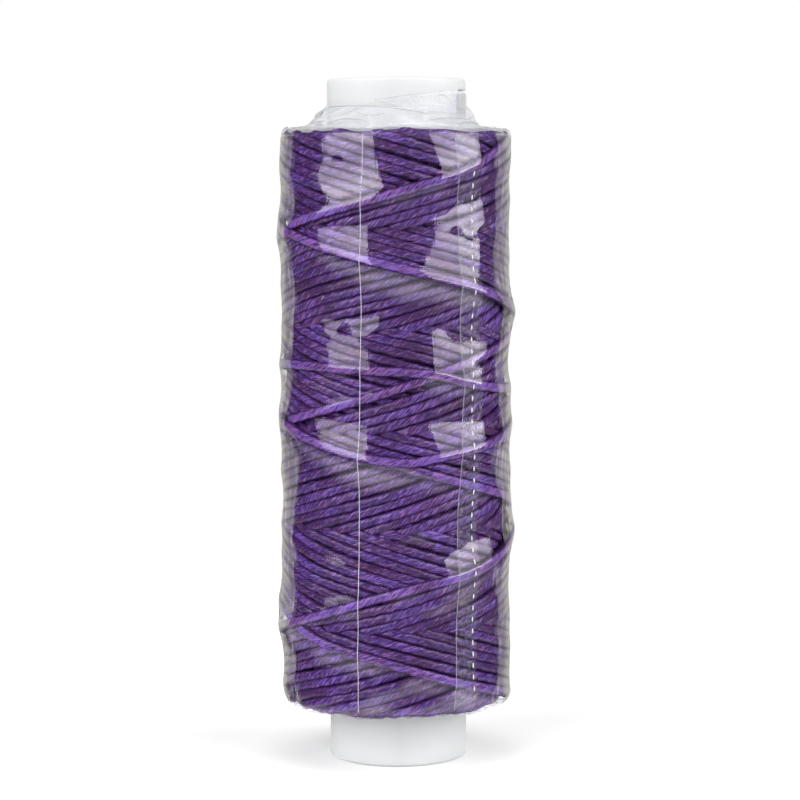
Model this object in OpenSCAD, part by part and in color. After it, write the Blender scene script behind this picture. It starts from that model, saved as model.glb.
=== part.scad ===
// Waxed thread spool for hand sewing leather.
// A plain plastic core tube carries a cross-wound package of waxed thread. A clear shrink
// film with a perforated tear line holds the package and gathers in a ruffle on the tube.
// Millimetres, +Z up. The tube stands on Z = 0, its axis is the Z axis and the front is -Y.

/* [Core tube] */
// Length of the tube, which is the height of the whole spool
tube_len = 69; // [50:0.5:110]
// Outer diameter of the tube
tube_od = 14; // [10:0.25:15.5]
// Wall thickness of the tube
tube_wall = 1; // [0.8:0.1:2.5]
// Rounding of the two rims
rim_round = 0.3; // [0.1:0.05:0.35]

/* [Thread catch slit] */
// Height of the knife-thin slit that holds the loose end of the thread
slit_h = 0.25; // [0.15:0.05:0.5]
// Depth of the slit into the right-hand side of the wall
slit_depth = 0.8; // [0.3:0.05:1.2]
// Distance from the upper rim down to the slit
slit_drop = 1.25; // [0.8:0.05:2]

/* [Wound package] */
// Outer diameter of the wound package over the film
package_od = 23.5; // [21:0.25:40]
// Bare tube under the package, which is the foot that the spool stands on
foot_len = 5.7; // [2:0.1:10]
// Bare tube over the package
head_len = 5; // [4.5:0.25:12]
// Diameter of the waxed thread
thread_d = 1; // [0.5:0.05:1.2]
// Back-and-forth pairs of strokes in the outer layer
stroke_pairs = 4; // [2:1:4]
// Turns in a pair of strokes before the shift that keeps the pairs apart
whole_turns = 6; // [3:1:6]
// Radial space between an upper turn and the lower turns that it crosses
cross_gap = 0.55; // [0.5:0.05:0.8]
// Clearance under the lower turns and round the tube
seat_gap = 0.05; // [0.02:0.01:0.2]
// Rounding of the shoulders of the inner layers
inner_round = 0.6; // [0.2:0.1:0.9]

/* [Shrink film] */
// Thickness of the film
film_t = 0.12; // [0.08:0.02:0.3]
// Clearance between the film and what it wraps
film_gap = 0.06; // [0.02:0.01:0.2]
// Rounding of the film at the ends of the package
film_round = 1; // [0.6:0.1:1.2]
// Width of the lip that the film turns under the package
lip_w = 3; // [1.6:0.1:3.6]

/* [Tear line] */
// Angle of the tear line, to the right of the front
tear_angle = 42; // [-180:1:180]
// Distance from one perforation to the next
tear_pitch = 1.15; // [0.8:0.05:3]
// Length of one perforation
tear_len = 0.6; // [0.3:0.05:0.7]
// Width of one perforation
tear_w = 0.15; // [0.1:0.05:0.4]

/* [Gathered neck] */
// Height of the ruffle over the package, where it stands tallest
neck_h = 4.1; // [2:0.1:4.2]
// Share of that height that the ruffle has on its low side
neck_low = 0.45; // [0.3:0.05:1]
// How far the pleats stand out from the tube where they leave the package
pleat_depth = 0.9; // [0.4:0.05:1.6]
// Number of pleats
pleats = 19; // [8:1:24]

/* [Hidden] */

round_fn = 96;
corner_fn = 32;
eps = 0.01;

tube_r = tube_od / 2;
bore_r = tube_r - tube_wall;

// Film, outer faces
film_r = package_od / 2;
film_bottom = foot_len;
film_top = tube_len - head_len;

// Space inside the film
wind_r = film_r - film_t - film_gap;
wind_bottom = film_bottom + film_t + film_gap;
wind_top = film_top - film_t - film_gap;

// Outer layer: the strokes that rise lie on radius lower_r, the strokes that fall on upper_r
rings = 24;
sides = 6;
step = 360 / rings;
upper_r = wind_r - thread_d / 2;
lower_r = upper_r - thread_d - cross_gap;
// Inner layers, which the chords of the lower turns just clear
inner_r = lower_r * cos(step / 2) - thread_d / 2 - seat_gap;
stroke_turn = 180 * (whole_turns - 1 / stroke_pairs);
tip_low = wind_bottom + thread_d / 2;
tip_high = wind_top - thread_d / 2;

// At a reversal the stroke rounds over and changes radius within these angles of the tip
tip_half = 24;
climb_half = 28;
rise = (tip_high - tip_low) / (stroke_turn - tip_half);

// The two ends of the thread go down to the inner layers midway between the turns they cross
cross_step = 180 / stroke_pairs;
bend_r = upper_r - inner_r - thread_d;
bend_turn = bend_r / upper_r * 180 / PI;
bend_steps = 5;
start_turn = bend_turn - 1.5 * cross_step;
end_turn = 2 * stroke_pairs * stroke_turn - 2.5 * cross_step - bend_turn;
helix_steps = round((end_turn - start_turn) / step);

// How many points of each chord the gap is measured on, and how far along a turn
fine = 4;
reach = 3;

// Distance in turning angle from the nearest reversal, and whether that one is at the top
function tip_number(u) = round(u / stroke_turn);
function from_tip(u) = u - tip_number(u) * stroke_turn;
function at_top(u) = abs(tip_number(u)) % 2 == 1;

// How far a stroke has left the plane of its tip
function tip_drop(s) = abs(s) < tip_half
    ? rise * s * s / (2 * tip_half)
    : rise * (abs(s) - tip_half / 2);
function tip_slope(s) = abs(s) < tip_half ? rise * s / tip_half : rise * sign(s);

// Share of the climb from the lower to the upper radius, and its slope
function climb_place(s) = min(1, max(0, (s + climb_half) / (2 * climb_half)));
function ease(t) = t * t * (3 - 2 * t);
function ease_slope(t) = 6 * t * (1 - t);

function turn_z(u) = at_top(u) ? tip_high - tip_drop(from_tip(u)) : tip_low + tip_drop(from_tip(u));
function turn_r(u) =
    let (t = ease(climb_place(from_tip(u))))
    at_top(u) ? lower_r + (upper_r - lower_r) * t : upper_r - (upper_r - lower_r) * t;
// Angle of the thread from the level, and how steeply it goes inward, in degrees
function turn_helix(u) =
    atan((at_top(u) ? -1 : 1) * tip_slope(from_tip(u)) * 180 / PI / turn_r(u));
function turn_dive(u) =
    let (slope = ease_slope(climb_place(from_tip(u))) * (upper_r - lower_r) / (2 * climb_half))
    atan((at_top(u) ? -1 : 1) * slope * 180 / PI / turn_r(u));

// A station is [turning angle, radius, height, helix angle, dive]
function turn_station(u) = [u, turn_r(u), turn_z(u), turn_helix(u), turn_dive(u)];

// An end of the thread: a quarter bend, then a straight run of one diameter square to the
// inner layers. The side is -1 before the turns and +1 after them, and a is the bend so far.
function bend_station(u, side, a) =
    let (along = bend_turn * sin(a))
    [u + side * along, upper_r - bend_r * (1 - cos(a)),
     turn_z(u) + side * along * tan(turn_helix(u)) * PI / 180 * upper_r, turn_helix(u), side * a];
function foot_station(u, side) =
    let (last = bend_station(u, side, 90))
    [last[0], inner_r, last[2], last[3], last[4]];

bend_marks = [for (i = [1 : bend_steps]) 90 * i / bend_steps];
helix_marks = [for (i = [0 : helix_steps])
    start_turn + (end_turn - start_turn) * i / helix_steps];
stations = concat(
    [foot_station(start_turn, -1)],
    [for (i = [bend_steps - 1 : -1 : 0]) bend_station(start_turn, -1, bend_marks[i])],
    [for (u = helix_marks) turn_station(u)],
    [for (a = bend_marks) bend_station(end_turn, 1, a)],
    [foot_station(end_turn, 1)]
);

// Directions at a station: outward, along the helix, then the thread's own tangent,
// its upper side and the side that shows outward. The front is at turning angle 0.
function outward(st) = [sin(st[0]), -cos(st[0]), 0];
function round_about(st) = [cos(st[0]), sin(st[0]), 0];
function helix_way(st) = cos(st[3]) * round_about(st) + sin(st[3]) * [0, 0, 1];
function upper_side(st) = cos(st[3]) * [0, 0, 1] - sin(st[3]) * round_about(st);
function outer_side(st) = cos(st[4]) * outward(st) + sin(st[4]) * helix_way(st);
function place(st) = st[1] * outward(st) + [0, 0, st[2]];
function section(st) = [for (k = [0 : sides - 1])
    let (a = 360 * k / sides)
    place(st) + thread_d / 2 * (cos(a) * outer_side(st) + sin(a) * upper_side(st))];

// Triangles of a tube through rings of n points each, closed by a flat cap at both ends
function wall_faces(count, n) = [for (i = [0 : count - 2], k = [0 : n - 1])
    let (a = i * n + k, b = i * n + (k + 1) % n)
    each [[a, b, a + n], [b, b + n, a + n]]];
function cap_faces(count, n) = let (last = (count - 1) * n) concat(
    [for (k = [1 : n - 2]) [0, k + 1, k]],
    [for (k = [1 : n - 2]) [last, last + k, last + k + 1]]
);

// Least clear distance of the thread to itself, from points along its chords. A point is
// compared with the same place on every later turn, and the two ends with all far turns.
function chord_points(p) = [for (i = [0 : len(p) - 2], k = [0 : fine - 1])
    p[i] + (p[i + 1] - p[i]) * k / fine];
function turn_gaps(p, turn) = [for (i = [0 : len(p) - 1])
    for (j = [i + turn : turn : len(p) - 1 + reach], k = [-reach : reach])
    if (j + k < len(p)) norm(p[j + k] - p[i])];
function end_gaps(ends, p) = [for (a = ends, b = p) norm(a - b)];
function least_gap(path) = let (
    bend = bend_steps + 1,
    turns = [for (i = [bend : len(path) - 1 - bend]) path[i]],
    p = chord_points(turns),
    turn = rings * fine,
    away = turn / 2,
    first = [for (i = [0 : bend]) path[i]],
    last = [for (i = [len(path) - 1 - bend : len(path) - 1]) path[i]]
) min(concat(
    turn_gaps(p, turn),
    end_gaps(first, [for (i = [away : len(p) - 1]) p[i]]),
    end_gaps(last, [for (i = [0 : len(p) - 1 - away]) p[i]]),
    end_gaps(first, last)
)) - thread_d;

// Neck: where the ruffle starts, its low side, and the rings up its height
neck_in = tube_r + film_gap + 0.06;
neck_base = film_top - film_t / 2;
neck_levels = [0, 0.35, 0.7, 1];
neck_spread = [1, 0.72, 0.5, 0.42];
pleat_points = 4;
neck_sides = pleats * pleat_points;
function neck_height(a) = neck_h * (1 - (1 - neck_low) * (1 - cos(a)) / 2)
    + neck_h * 0.04 * sin(3 * a);
function pleat_wave(a) = 0.5 + 0.36 * cos(pleats * a) + 0.14 * sin(2 * a + 30);
function neck_point(a, level, out) =
    let (
        r = neck_in + out + pleat_depth * neck_spread[level] * pleat_wave(a),
        z = neck_base + neck_levels[level] * neck_height(a)
    )
    [r * cos(a), r * sin(a), z];
neck_rows = len(neck_levels);

// A bar with all four corners rounded, from one corner to the opposite one
module rounded_bar(low, high, r) {
    translate([low[0] + r, low[1]]) square([high[0] - low[0] - 2 * r, high[1] - low[1]]);
    translate([low[0], low[1] + r]) square([high[0] - low[0], high[1] - low[1] - 2 * r]);
    for (x = [low[0] + r, high[0] - r], y = [low[1] + r, high[1] - r])
        translate([x, y]) circle(r, $fn = corner_fn);
}

// A bar that stands on the axis side, with its two outer corners rounded
module shouldered_bar(low, high, r) {
    translate(low) square([high[0] - low[0] - r, high[1] - low[1]]);
    translate([low[0], low[1] + r]) square([high[0] - low[0], high[1] - low[1] - 2 * r]);
    for (y = [low[1] + r, high[1] - r])
        translate([high[0] - r, y]) circle(r, $fn = corner_fn);
}

module core_tube() {
    color("#eef1f1") difference() {
        rotate_extrude($fn = round_fn)
            rounded_bar([bore_r, 0], [tube_r, tube_len], rim_round);
        translate([tube_r - slit_depth, -tube_r, tube_len - slit_drop - slit_h / 2])
            cube([slit_depth + eps, tube_od, slit_h]);
    }
}

module thread_inner_layers() {
    color("#4a2478") rotate_extrude($fn = round_fn)
        shouldered_bar([tube_r + seat_gap, wind_bottom], [inner_r, wind_top], inner_round);
}

module thread_outer_turns() {
    echo(str("least gap between turns: ", least_gap([for (st = stations) place(st)]), " mm"));
    echo(str("turns wound: ", (end_turn - start_turn + 2 * bend_turn) / 360));
    color("#6338a6") polyhedron(
        points = [for (st = stations) each section(st)],
        faces = concat(wall_faces(len(stations), sides), cap_faces(len(stations), sides)),
        convexity = 20
    );
}

module film_sleeve() {
    rotate_extrude($fn = round_fn) difference() {
        shouldered_bar([tube_r + film_gap, film_bottom], [film_r, film_top], film_round);
        shouldered_bar([0, film_bottom + film_t], [film_r - film_t, film_top - film_t],
            film_round - film_t);
        translate([0, film_bottom - eps]) square([film_r - lip_w, film_t + 2 * eps]);
    }
}

module tear_line() {
    run = film_top - film_bottom - 2 * film_round;
    count = floor((run - tear_len) / tear_pitch) + 1;
    first = (film_bottom + film_top - (count - 1) * tear_pitch - tear_len) / 2;
    rotate([0, 0, tear_angle])
        for (i = [0 : count - 1])
            translate([-tear_w / 2, -film_r - film_t, first + i * tear_pitch])
                cube([tear_w, 3 * film_t, tear_len]);
}

module neck_ruffle() {
    n = neck_sides;
    rows = neck_rows;
    outer = [for (row = [0 : rows - 1], k = [0 : n - 1]) neck_point(360 * k / n, row, film_t)];
    inner = [for (row = [rows - 1 : -1 : 0], k = [0 : n - 1]) neck_point(360 * k / n, row, 0)];
    rim = 2 * rows;
    polyhedron(
        points = concat(outer, inner),
        faces = [for (i = [0 : rim - 1], k = [0 : n - 1])
            let (a = i * n + k, b = i * n + (k + 1) % n,
                c = (i + 1) % rim * n + k, d = (i + 1) % rim * n + (k + 1) % n)
            each [[a, c, b], [b, c, d]]],
        convexity = 8
    );
}

module shrink_film() {
    color("#cfc4dc", 0.35) union() {
        difference() {
            film_sleeve();
            tear_line();
        }
        neck_ruffle();
    }
}

core_tube();
thread_inner_layers();
thread_outer_turns();
shrink_film();
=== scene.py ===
"""Waxed thread spool: the looks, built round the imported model.

The thread is wound stroke by stroke on a relief of what lies under it, the film is stretched
over the result, and the core tube keeps its own mesh. Sizes are in millimetres until a mesh is
made. A turning angle is 0 at the front, -Y, and grows towards the viewer's right, +X.
"""

import logging
import math
from dataclasses import dataclass, field, fields, replace
from enum import Enum
from typing import Any, Iterable, Union

import bpy
import numpy as np
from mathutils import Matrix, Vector


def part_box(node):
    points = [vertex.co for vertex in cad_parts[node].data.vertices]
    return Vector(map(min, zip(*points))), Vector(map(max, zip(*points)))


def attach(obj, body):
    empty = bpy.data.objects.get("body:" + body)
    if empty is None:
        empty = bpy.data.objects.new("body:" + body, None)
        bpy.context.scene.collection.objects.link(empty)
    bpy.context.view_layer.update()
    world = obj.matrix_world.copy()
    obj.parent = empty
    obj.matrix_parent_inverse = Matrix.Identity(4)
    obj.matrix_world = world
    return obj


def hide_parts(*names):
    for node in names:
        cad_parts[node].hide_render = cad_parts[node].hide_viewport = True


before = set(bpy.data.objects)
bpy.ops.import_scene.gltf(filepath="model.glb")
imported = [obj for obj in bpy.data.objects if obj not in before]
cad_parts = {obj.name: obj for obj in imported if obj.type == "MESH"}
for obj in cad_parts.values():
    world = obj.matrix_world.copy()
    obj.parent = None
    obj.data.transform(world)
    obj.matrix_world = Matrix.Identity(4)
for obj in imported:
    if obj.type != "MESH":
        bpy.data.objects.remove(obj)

log = logging.getLogger("waxed_thread_spool")

MM = 0.001
BODY = "root"
Array = np.ndarray
Colour = tuple[float, float, float]
Knots = tuple[tuple[float, float], ...]


# ---------------------------------------------------------------- numbers on a curve or a grid


def smooth_step(value: Array) -> Array:
    """Ease a value from 0 to 1, flat at both ends.

    Args:
        value: Numbers of any size, held to 0..1 first.

    Returns:
        The eased numbers.
    """
    held = np.clip(value, 0.0, 1.0)
    return held * held * (3.0 - 2.0 * held)


def through_knots(at: Array, knots: Knots) -> Array:
    """Follow a smooth curve through given knots without overshooting them.

    Args:
        at: Places along the curve.
        knots: Pairs of place and value, in rising order of place.

    Returns:
        The curve's value at each place.
    """
    place = np.array([knot[0] for knot in knots], float)
    value = np.array([knot[1] for knot in knots], float)
    width = np.diff(place)
    slope = np.diff(value) / width
    product = slope[1:] * slope[:-1]
    total = slope[1:] + slope[:-1]
    inner = np.where(product > 0, 2 * product / np.where(total == 0, 1, total), 0)
    tangent = np.concatenate([slope[:1], inner, slope[-1:]])
    held = np.clip(at, place[0], place[-1])
    i = np.clip(np.searchsorted(place, held) - 1, 0, len(width) - 1)
    t = (held - place[i]) / width[i]
    rise = value[i] * (2 * t**3 - 3 * t**2 + 1) + value[i + 1] * (3 * t**2 - 2 * t**3)
    lean = tangent[i] * (t**3 - 2 * t**2 + t) + tangent[i + 1] * (t**3 - t**2)
    return rise + lean * width[i]


def wandering(rng: np.random.Generator, count: int, scale: float) -> Array:
    """Make a smooth random curve of about unit size.

    Args:
        rng: Seeded source of random numbers.
        count: Number of samples.
        scale: Samples from one random knot to the next.

    Returns:
        The curve's samples.
    """
    knots = rng.standard_normal(int(count / scale) + 5)
    place = np.arange(count) / scale
    i = place.astype(int)
    t = place - i
    weights = ((1 - t) ** 3, 3 * t**3 - 6 * t**2 + 4, -3 * t**3 + 3 * t**2 + 3 * t + 1, t**3)
    return sum(w * knots[i + k] for k, w in enumerate(weights)) / 4


def on_spool(angle: Array, radius: Array, height: Array) -> Array:
    """Place points round the spool's axis.

    Args:
        angle: Turning angle in radians.
        radius: Distance from the axis.
        height: Height over the foot.

    Returns:
        Points as rows of x, y and z.
    """
    angle, radius, height = np.broadcast_arrays(angle, radius, height)
    return np.stack([radius * np.sin(angle), -radius * np.cos(angle), height], -1)


def unit(vectors: Array) -> Array:
    """Scale each row to unit length."""
    return vectors / np.linalg.norm(vectors, axis=-1, keepdims=True)


def blurred(values: Array, radius: float, axis: int, closed: bool) -> Array:
    """Blur a grid along one axis with a bell curve.

    Args:
        values: The grid.
        radius: Standard deviation in cells.
        axis: Axis to blur along.
        closed: Whether the grid joins up with itself along that axis.

    Returns:
        The blurred grid.
    """
    reach = max(1, int(3 * radius))
    pad = [(0, 0)] * values.ndim
    pad[axis] = (reach, reach)
    padded = np.pad(values, pad, mode="wrap" if closed else "edge")
    weights = np.exp(-0.5 * (np.arange(-reach, reach + 1) / radius) ** 2)
    weights /= weights.sum()
    size = values.shape[axis]
    return sum(w * padded.take(range(k, k + size), axis) for k, w in enumerate(weights))


def stretched(values: Array, step: float, bend: float, reach: float, axis: int, closed: bool) -> Array:
    """Raise a grid to a skin that is pulled tight over it along one axis.

    The skin rises from each cell by a parabola of the given radius, which is how a string
    under tension leaves what it lies on.

    Args:
        values: The grid.
        step: Size of a cell along the axis.
        bend: Radius of the parabola at its tip.
        reach: Longest free span to either side.
        axis: Axis to stretch along.
        closed: Whether the grid joins up with itself along that axis.

    Returns:
        The grid after the parabola has passed over it.
    """
    cells = int(reach / step)
    pad = [(0, 0)] * values.ndim
    pad[axis] = (cells, cells)
    padded = np.pad(values, pad, mode="wrap" if closed else "edge")
    size = values.shape[axis]
    best = values
    for k in range(-cells, cells + 1):
        drop = (k * step) ** 2 / (2 * bend)
        start = cells + k
        best = np.maximum(best, padded.take(range(start, start + size), axis) - drop)
    return best


def tight_skin(
    values: Array, steps: tuple[float, ...], bend: float, reach: float, closed: tuple[bool, ...],
) -> Array:
    """Stretch a skin over a grid along all its axes, so that it touches the high places only.

    Args:
        values: The grid, one or two axes.
        steps: Size of a cell along each axis.
        bend: Radius at which the skin leaves a high place.
        reach: Longest free span to either side.
        closed: For each axis, whether the grid joins up with itself.

    Returns:
        Heights of the skin.
    """
    skin = values
    for axis, step in enumerate(steps):
        skin = stretched(skin, step, bend, reach, axis, closed[axis])
    for axis, step in enumerate(steps):
        skin = -stretched(-skin, step, bend, reach, axis, closed[axis])
    return skin


# ---------------------------------------------------------------- meshes and shader maths


def make_piece(
    name: str, points: Array, faces: list[Array], marks: Union[dict[str, Any], None] = None,
) -> bpy.types.Object:
    """Make a smooth mesh object from points in millimetres.

    Args:
        name: Name of the object and its mesh.
        points: Points as x, y and z in millimetres, in a row or in a grid.
        faces: Blocks of faces, each a grid with a face's corner numbers in a row.
        marks: Numbers that its finish reads, by name: one for each point, or one for all.

    Returns:
        The object, linked to the scene.
    """
    mesh = bpy.data.meshes.new(name)
    mesh.vertices.add(points.size // 3)
    mesh.vertices.foreach_set("co", (points * MM).ravel())
    corners = np.concatenate([block.ravel() for block in faces])
    sides = np.concatenate([np.full(len(block), block.shape[1]) for block in faces])
    mesh.loops.add(len(corners))
    mesh.loops.foreach_set("vertex_index", corners)
    mesh.polygons.add(len(sides))
    mesh.polygons.foreach_set("loop_start", np.cumsum(sides) - sides)
    mesh.update(calc_edges=True)
    mesh.validate()
    mesh.shade_smooth()
    for key, values in (marks or {}).items():
        layer = mesh.attributes.new(key, "FLOAT", "POINT")
        held = np.broadcast_to(values, points.shape[:-1]).astype(np.float32)
        layer.data.foreach_set("value", held.ravel())
    piece = bpy.data.objects.new(name, mesh)
    bpy.context.scene.collection.objects.link(piece)
    return piece


def grid_faces(rows: int, columns: int, closed: bool) -> Array:
    """Number the quads of a grid of points.

    Args:
        rows: Rows of points.
        columns: Points in a row.
        closed: Whether the last column joins the first.

    Returns:
        Rows of four corner numbers.
    """
    across = np.arange(columns if closed else columns - 1)
    right = (across + 1) % columns
    base = np.arange(rows - 1)[:, None] * columns
    corners = (base + across, base + right, base + right + columns, base + across + columns)
    return np.stack(corners, -1).reshape(-1, 4)


def make_sheet(name: str, points: Array, closed: bool, **marks: Any) -> bpy.types.Object:
    """Make a piece from one grid of points.

    Args:
        name: Name of the piece.
        points: Grid of points in millimetres.
        closed: Whether the last column joins the first.
        **marks: Numbers that its finish reads.

    Returns:
        The piece.
    """
    return make_piece(name, points, [grid_faces(*points.shape[:2], closed)], marks)


def make_ridges(name: str, blocks: list[Array], haze: list[float], crinkle: float) -> bpy.types.Object:
    """Make one piece of several narrow ridges that have equal grids.

    Args:
        name: Name of the piece.
        blocks: Grid of points of each ridge.
        haze: Haze of each ridge.
        crinkle: Crinkle of them all.

    Returns:
        The piece.
    """
    rows, columns = blocks[0].shape[:2]
    size = rows * columns
    faces = [grid_faces(rows, columns, False) + size * i for i in range(len(blocks))]
    points = np.concatenate(blocks).reshape(-1, 3)
    return make_piece(name, points, faces, {"haze": np.repeat(haze, size), "crinkle": crinkle})


class Signal:
    """A shader socket that takes part in arithmetic. Each operation adds a Math node."""

    def __init__(self, board: "Board", socket: bpy.types.NodeSocket) -> None:
        """Wrap a socket of a board."""
        self.board = board
        self.socket = socket

    def _math(self, operation: str, *values: Union["Signal", float]) -> "Signal":
        """Add a Math node.

        Args:
            operation: The node's operation.
            *values: Its inputs in order.

        Returns:
            The node's result.
        """
        return self.board.add("Math", {"operation": operation}, dict(enumerate(values)))

    def __add__(self, other: Union["Signal", float]) -> "Signal":
        """self + other."""
        return self._math("ADD", self, other)

    __radd__ = __add__

    def __sub__(self, other: Union["Signal", float]) -> "Signal":
        """self - other."""
        return self._math("SUBTRACT", self, other)

    def __rsub__(self, other: Union["Signal", float]) -> "Signal":
        """other - self."""
        return self._math("SUBTRACT", other, self)

    def __mul__(self, other: Union["Signal", float]) -> "Signal":
        """self * other."""
        return self._math("MULTIPLY", self, other)

    __rmul__ = __mul__

    def __truediv__(self, other: Union["Signal", float]) -> "Signal":
        """self / other."""
        return self._math("DIVIDE", self, other)

    def __rtruediv__(self, other: Union["Signal", float]) -> "Signal":
        """other / self."""
        return self._math("DIVIDE", other, self)

    def __pow__(self, other: float) -> "Signal":
        """self to the power of other."""
        return self._math("POWER", self, other)

    def __rpow__(self, other: float) -> "Signal":
        """other to the power of self."""
        return self._math("POWER", other, self)

    def between(self, low: float, high: float) -> "Signal":
        """Ease from 0 at low to 1 at high."""
        settings = {"interpolation_type": "SMOOTHSTEP"}
        return self.board.add("MapRange", settings, {"Value": self, "From Min": low, "From Max": high})


class Board:
    """The node tree of a material or of the world."""

    def __init__(self, tree: bpy.types.NodeTree) -> None:
        """Take over an empty tree."""
        self.tree = tree
        tree.nodes.clear()

    def node(self, kind: str, settings: dict[str, Any], inputs: dict[Any, Any]) -> bpy.types.Node:
        """Add any node: settings first, then the values or links of its sockets.

        Args:
            kind: Node type without its ShaderNode prefix.
            settings: Attributes of the node.
            inputs: Values or signals by socket name or number.

        Returns:
            The node.
        """
        node = self.tree.nodes.new("ShaderNode" + kind)
        for name, value in settings.items():
            setattr(node, name, value)
        for key, value in inputs.items():
            if isinstance(value, Signal):
                self.tree.links.new(value.socket, node.inputs[key])
            else:
                node.inputs[key].default_value = value
        return node

    def add(self, kind: str, settings: dict[str, Any], inputs: dict[Any, Any], output: Any = 0) -> Signal:
        """Add any node and take one of its outputs, by name or number."""
        return Signal(self, self.node(kind, settings, inputs).outputs[output])

    def mix(self, factor: Union[Signal, float], low: Any, high: Any) -> Signal:
        """Mix two colours.

        Args:
            factor: 0 for the first colour, 1 for the second.
            low: First colour or signal.
            high: Second colour or signal.

        Returns:
            The mixed colour.
        """
        ends = [c if isinstance(c, Signal) else (*c, 1.0) for c in (low, high)]
        return self.add("Mix", {"data_type": "RGBA"}, {0: factor, 6: ends[0], 7: ends[1]}, 2)

    def mark(self, name: str) -> Signal:
        """Read a number that the mesh holds at its points."""
        return self.add("Attribute", {"attribute_name": name}, {}, "Fac")

    def noise(self, vector: Signal, scale: float, detail: float = 2.0) -> Signal:
        """Noise of about 0.5 on average.

        Args:
            vector: Coordinates.
            scale: Waves per unit.
            detail: Octaves.

        Returns:
            The noise.
        """
        return self.add("TexNoise", {}, {"Vector": vector, "Scale": scale, "Detail": detail}, 0)

    def object_place(self, scale: Colour) -> Signal:
        """Coordinates of the object, scaled along each axis."""
        place = self.add("TexCoord", {}, {}, "Object")
        return self.add("VectorMath", {"operation": "MULTIPLY"}, {0: place, 1: scale})

    def bump(self, height: Signal, distance: float, strength: float) -> Signal:
        """Turn a height into a normal.

        Args:
            height: Height from 0 to 1.
            distance: Metres for a height of 1.
            strength: Share of the effect.

        Returns:
            The normal.
        """
        return self.add("Bump", {}, {"Height": height, "Distance": distance, "Strength": strength})

    def finish(self, shader: Signal, output: str = "OutputMaterial") -> None:
        """Show a shader as the surface."""
        self.node(output, {}, {"Surface": shader})


def new_material(name: str) -> tuple[bpy.types.Material, Board]:
    """Start a material with an empty board.

    Args:
        name: Name of the material.

    Returns:
        The material and its board.
    """
    material = bpy.data.materials.new(name)
    material.use_nodes = True
    return material, Board(material.node_tree)


# ---------------------------------------------------------------- finishes


@dataclass(frozen=True)
class TubePlastic:
    """White moulded plastic, a little translucent, with faint flow and handling marks."""

    name: str = "tube_plastic"
    colour: Colour = (0.655, 0.672, 0.672)
    shade: Colour = (0.62, 0.635, 0.635)
    rough_low: float = 0.32
    rough_high: float = 0.46
    cloud_scale: float = 240.0
    scuff_scale: float = 900.0
    scuff_height: float = 0.00002
    translucence: float = 0.5
    light_depth: float = 0.003

    def material(self) -> bpy.types.Material:
        """Make the material.

        Returns:
            The finished material.
        """
        material, board = new_material(self.name)
        cloud = board.noise(board.object_place((1.0, 1.0, 0.35)), self.cloud_scale, 3.0)
        scuffs = board.noise(board.object_place((1.0, 1.0, 6.0)), self.scuff_scale, 4.0)
        colour = board.mix(cloud.between(0.35, 0.75), self.colour, self.shade)
        rough = self.rough_low + (self.rough_high - self.rough_low) * scuffs
        inputs = {
            "Base Color": colour,
            "Roughness": rough,
            "IOR": 1.49,
            "Specular IOR Level": 0.25,
            "Subsurface Weight": self.translucence,
            "Subsurface Radius": (1.0, 1.0, 1.0),
            "Subsurface Scale": self.light_depth,
            "Normal": board.bump(scuffs, self.scuff_height, 0.25),
        }
        board.finish(board.add("BsdfPrincipled", {}, inputs))
        return material


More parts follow.
